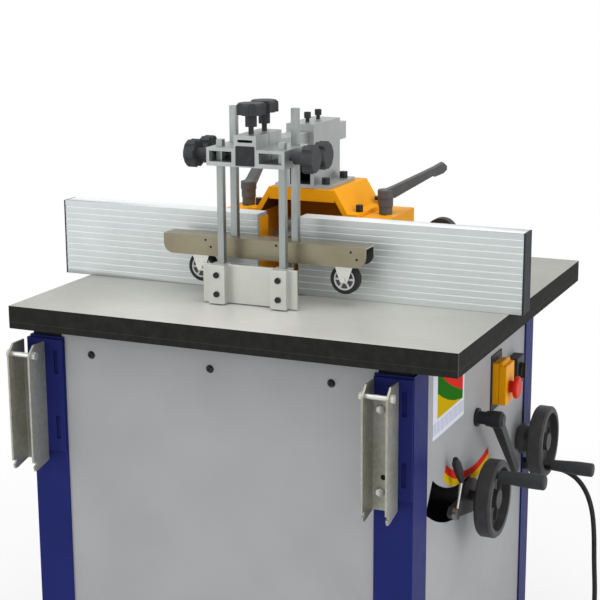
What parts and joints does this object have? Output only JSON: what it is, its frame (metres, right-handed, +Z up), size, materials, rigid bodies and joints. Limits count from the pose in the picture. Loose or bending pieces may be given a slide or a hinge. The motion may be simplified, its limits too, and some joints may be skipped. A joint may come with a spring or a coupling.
{
  "type": "spindle moulder",
  "caption": "Floor-standing spindle moulder with tilting, rising spindle, split fence, hooded extraction and an adjustable top guard on a cast table and steel cabinet.",
  "frame": {"origin": "on the floor under the spindle axis, in the plane of the base plate's underside", "axes": "+X along the fence to the operator's right, +Y away from the operator, +Z up"},
  "size_m": [1.044, 0.84, 1.254],
  "materials": {
    "table_iron": "ground grey top with dark painted edges",
    "cabinet_grey": "satin light grey",
    "cabinet_blue": "satin deep blue",
    "zinc": "zinc plated",
    "fence_aluminium": "ribbed extrusion",
    "cast_aluminium": "tumbled casting",
    "guard_yellow": "gloss orange yellow",
    "bright_steel": "bright drawn",
    "roller_steel": "brushed, warm tint",
    "dark_iron": "dark",
    "black_plastic": "fine grained",
    "black_rubber": "matt",
    "switch_yellow": "moulded",
    "button_red": "moulded",
    "button_green": "moulded",
    "motor_paint": "satin dark grey"
  },
  "bodies": {
    "cabinet": {"base_plate": "cabinet_blue", "corner_posts": "cabinet_blue", "front_panel": "cabinet_grey", "rear_panel": "cabinet_grey", "right_panel": "cabinet_grey", "table": "table_iron", "table_rings": "bright_steel", "bracket_carriers": "cabinet_blue", "hanger_brackets": "zinc", "cabinet_screws": "black_plastic", "side_bearings": "dark_iron", "selector_box": "black_plastic", "switch_housing": "black_plastic", "tilt_guides": "dark_iron", "extraction_base": "guard_yellow", "hood": "guard_yellow", "column": "cast_aluminium", "guard_bolts": "dark_iron", "cable_gland": "black_plastic", "mains_lead": "black_rubber", "lead_coil": "black_rubber", "mains_plug": "black_plastic"},
    "quill": {"quill": "dark_iron", "motor": "motor_paint", "drive_belt": "black_rubber"},
    "spindle": {"spindle": "bright_steel", "spacer_rings": "bright_steel"},
    "access_door": {"access_door": "cabinet_grey"},
    "clamp_block_front": {"clamp_block_front": "cast_aluminium"},
    "clamp_block_rear": {"clamp_block_rear": "cast_aluminium"},
    "clamp_lever_left": {"clamp_lever_left": "black_plastic"},
    "clamp_lever_right": {"clamp_lever_right": "black_plastic"},
    "fence_adjuster": {"fence_adjuster": "black_plastic"},
    "fence_carrier_left": {"fence_carrier_left": "guard_yellow"},
    "fence_carrier_right": {"fence_carrier_right": "guard_yellow"},
    "fence_plate_left": {"fence_plate_left": "fence_aluminium"},
    "fence_plate_right": {"fence_plate_right": "fence_aluminium"},
    "guard_arm": {"guard_arm": "cast_aluminium"},
    "height_wheel": {"height_wheel": "black_plastic"},
    "height_wheel_handle": {"height_wheel_handle": "black_plastic"},
    "index_lever": {"index_lever": "black_plastic"},
    "lock_lever": {"lock_lever": "dark_iron"},
    "motor_pulley": {"motor_pulley": "dark_iron"},
    "pressure_shoe": {"pressure_shoe": "cast_aluminium"},
    "roller_bar": {"roller_bar": "roller_steel"},
    "roller_left": {"roller_left": "black_rubber"},
    "roller_right": {"roller_right": "black_rubber"},
    "selector_knob": {"selector_knob": "black_plastic"},
    "side_knob_front_left": {"side_knob_front_left": "black_plastic"},
    "side_knob_front_right": {"side_knob_front_right": "black_plastic"},
    "side_knob_rear_left": {"side_knob_rear_left": "black_plastic"},
    "side_knob_rear_right": {"side_knob_rear_right": "black_plastic"},
    "start_button": {"start_button": "button_green"},
    "stop_button": {"stop_button": "button_red"},
    "switch_flap": {"switch_flap": "switch_yellow"},
    "tilt_wheel": {"tilt_wheel": "black_plastic"},
    "tilt_wheel_handle": {"tilt_wheel_handle": "black_plastic"},
    "top_knob_front": {"top_knob_front": "black_plastic"},
    "top_knob_rear": {"top_knob_rear": "black_plastic"},
    "trunnion": {"trunnion": "dark_iron"}
  },
  "joints": [
    {"name": "door_swing", "type": "hinge", "parent": "cabinet", "child": "access_door", "pos_m": [-0.4215, 0.399, 0.4], "axis": [0, 0, -1], "range_deg": [0, 110]},
    {"name": "flap_lift", "type": "hinge", "parent": "cabinet", "child": "switch_flap", "pos_m": [0.3904, 0.1861, 0.707], "axis": [0, -1, 0], "range_deg": [0, 95]},
    {"name": "stop_press", "type": "slide", "parent": "switch_flap", "child": "stop_button", "axis": [-1, 0, 0], "range_m": [0, 0.002], "stiffness_N_per_m": 500},
    {"name": "start_press", "type": "slide", "parent": "cabinet", "child": "start_button", "axis": [-1, 0, 0], "range_m": [0, 0.002], "stiffness_N_per_m": 400},
    {"name": "selector_turn", "type": "hinge", "parent": "cabinet", "child": "selector_knob", "pos_m": [0.3943, 0.29484, 0.66], "axis": [1, 0, 0], "range_deg": [-60, 60]},
    {"name": "lock_turn", "type": "hinge", "parent": "cabinet", "child": "lock_lever", "pos_m": [0.371, 0.05915, 0.622], "axis": [1, 0, 0], "range_deg": [-8, 40]},
    {"name": "left_clamp_turn", "type": "hinge", "parent": "cabinet", "child": "clamp_lever_left", "pos_m": [-0.153, 0.12, 1.006], "axis": [0, 0, 1], "range_deg": [-20, 60]},
    {"name": "right_clamp_turn", "type": "hinge", "parent": "cabinet", "child": "clamp_lever_right", "pos_m": [0.153, 0.12, 1.006], "axis": [0, 0, 1], "range_deg": [-20, 60]},
    {"name": "left_carrier_slide", "type": "slide", "parent": "cabinet", "child": "fence_carrier_left", "axis": [0, 1, 0], "range_m": [-0.01, 0.01]},
    {"name": "right_carrier_slide", "type": "slide", "parent": "cabinet", "child": "fence_carrier_right", "axis": [0, 1, 0], "range_m": [-0.01, 0.01]},
    {"name": "left_fence_slide", "type": "slide", "parent": "fence_carrier_left", "child": "fence_plate_left", "axis": [-1, 0, 0], "range_m": [0, 0.06]},
    {"name": "right_fence_slide", "type": "slide", "parent": "fence_carrier_right", "child": "fence_plate_right", "axis": [1, 0, 0], "range_m": [0, 0.06]},
    {"name": "adjuster_turn", "type": "hinge", "parent": "fence_carrier_right", "child": "fence_adjuster", "pos_m": [0.3, 0.024, 0.992], "axis": [0, 1, 0], "range_deg": [-180, 180]},
    {"name": "arm_slide", "type": "slide", "parent": "cabinet", "child": "guard_arm", "axis": [0, 1, 0], "range_m": [-0.04, 0.012]},
    {"name": "front_block_slide", "type": "slide", "parent": "guard_arm", "child": "clamp_block_front", "axis": [0, 1, 0], "range_m": [-0.006, 0]},
    {"name": "rear_block_slide", "type": "slide", "parent": "guard_arm", "child": "clamp_block_rear", "axis": [0, 1, 0], "range_m": [0, 0.01]},
    {"name": "front_left_knob_turn", "type": "hinge", "parent": "clamp_block_front", "child": "side_knob_front_left", "pos_m": [-0.08, -0.184, 1.155], "axis": [-1, 0, 0], "range_deg": [-180, 180]},
    {"name": "front_right_knob_turn", "type": "hinge", "parent": "clamp_block_front", "child": "side_knob_front_right", "pos_m": [0.08, -0.184, 1.155], "axis": [1, 0, 0], "range_deg": [-180, 180]},
    {"name": "front_top_knob_turn", "type": "hinge", "parent": "clamp_block_front", "child": "top_knob_front", "pos_m": [0, -0.184, 1.196], "axis": [0, 0, 1], "range_deg": [-180, 180]},
    {"name": "rear_left_knob_turn", "type": "hinge", "parent": "clamp_block_rear", "child": "side_knob_rear_left", "pos_m": [-0.08, -0.126, 1.155], "axis": [-1, 0, 0], "range_deg": [-180, 180]},
    {"name": "rear_right_knob_turn", "type": "hinge", "parent": "clamp_block_rear", "child": "side_knob_rear_right", "pos_m": [0.08, -0.126, 1.155], "axis": [1, 0, 0], "range_deg": [-180, 180]},
    {"name": "rear_top_knob_turn", "type": "hinge", "parent": "clamp_block_rear", "child": "top_knob_rear", "pos_m": [0, -0.126, 1.196], "axis": [0, 0, 1], "range_deg": [-180, 180]},
    {"name": "shoe_lift", "type": "slide", "parent": "clamp_block_front", "child": "pressure_shoe", "axis": [0, 0, 1], "range_m": [0, 0.08]},
    {"name": "roller_bar_lift", "type": "slide", "parent": "clamp_block_rear", "child": "roller_bar", "axis": [0, 0, 1], "range_m": [-0.02, 0.06]},
    {"name": "left_roller_spin", "type": "hinge", "parent": "roller_bar", "child": "roller_left", "pos_m": [-0.134, -0.126, 0.924], "axis": [0, 1, 0], "continuous": true},
    {"name": "right_roller_spin", "type": "hinge", "parent": "roller_bar", "child": "roller_right", "pos_m": [0.167, -0.126, 0.924], "axis": [0, 1, 0], "continuous": true},
    {"name": "spindle_tilt", "type": "hinge", "parent": "cabinet", "child": "trunnion", "pos_m": [0, 0, 0.87], "axis": [-1, 0, 0], "range_deg": [0, 30]},
    {"name": "quill_lift", "type": "slide", "parent": "trunnion", "child": "quill", "axis": [0, 0, 1], "range_m": [-0.1, 0]},
    {"name": "spindle_spin", "type": "hinge", "parent": "quill", "child": "spindle", "pos_m": [0, 0, 0.7], "axis": [0, 0, 1], "continuous": true},
    {"name": "motor_spin", "type": "hinge", "parent": "quill", "child": "motor_pulley", "pos_m": [0, 0.165, 0.57], "axis": [0, 0, 1], "continuous": true},
    {"name": "height_wheel_turn", "type": "hinge", "parent": "trunnion", "child": "height_wheel", "pos_m": [0.41, 0, 0.48], "axis": [1, 0, 0], "range_deg": [-290, 0]},
    {"name": "height_handle_spin", "type": "hinge", "parent": "height_wheel", "child": "height_wheel_handle", "pos_m": [0.446, -0.024, 0.535], "axis": [1, 0, 0], "continuous": true},
    {"name": "tilt_wheel_turn", "type": "hinge", "parent": "cabinet", "child": "tilt_wheel", "pos_m": [0.41, 0.371, 0.484], "axis": [1, 0, 0], "range_deg": [0, 1200]},
    {"name": "tilt_handle_spin", "type": "hinge", "parent": "tilt_wheel", "child": "tilt_wheel_handle", "pos_m": [0.446, 0.379, 0.429], "axis": [1, 0, 0], "continuous": true},
    {"name": "index_turn", "type": "hinge", "parent": "trunnion", "child": "index_lever", "pos_m": [0.386, -0.122, 0.485], "axis": [1, 0, 0], "range_deg": [-20, 20]}
  ],
  "couplings": [
    {"joint": "motor_spin", "follows": "spindle_spin", "ratio": 0.56897},
    {"joint": "height_wheel_turn", "follows": "quill_lift", "rad_per_m": 50},
    {"joint": "tilt_wheel_turn", "follows": "spindle_tilt", "ratio": 40}
  ]
}
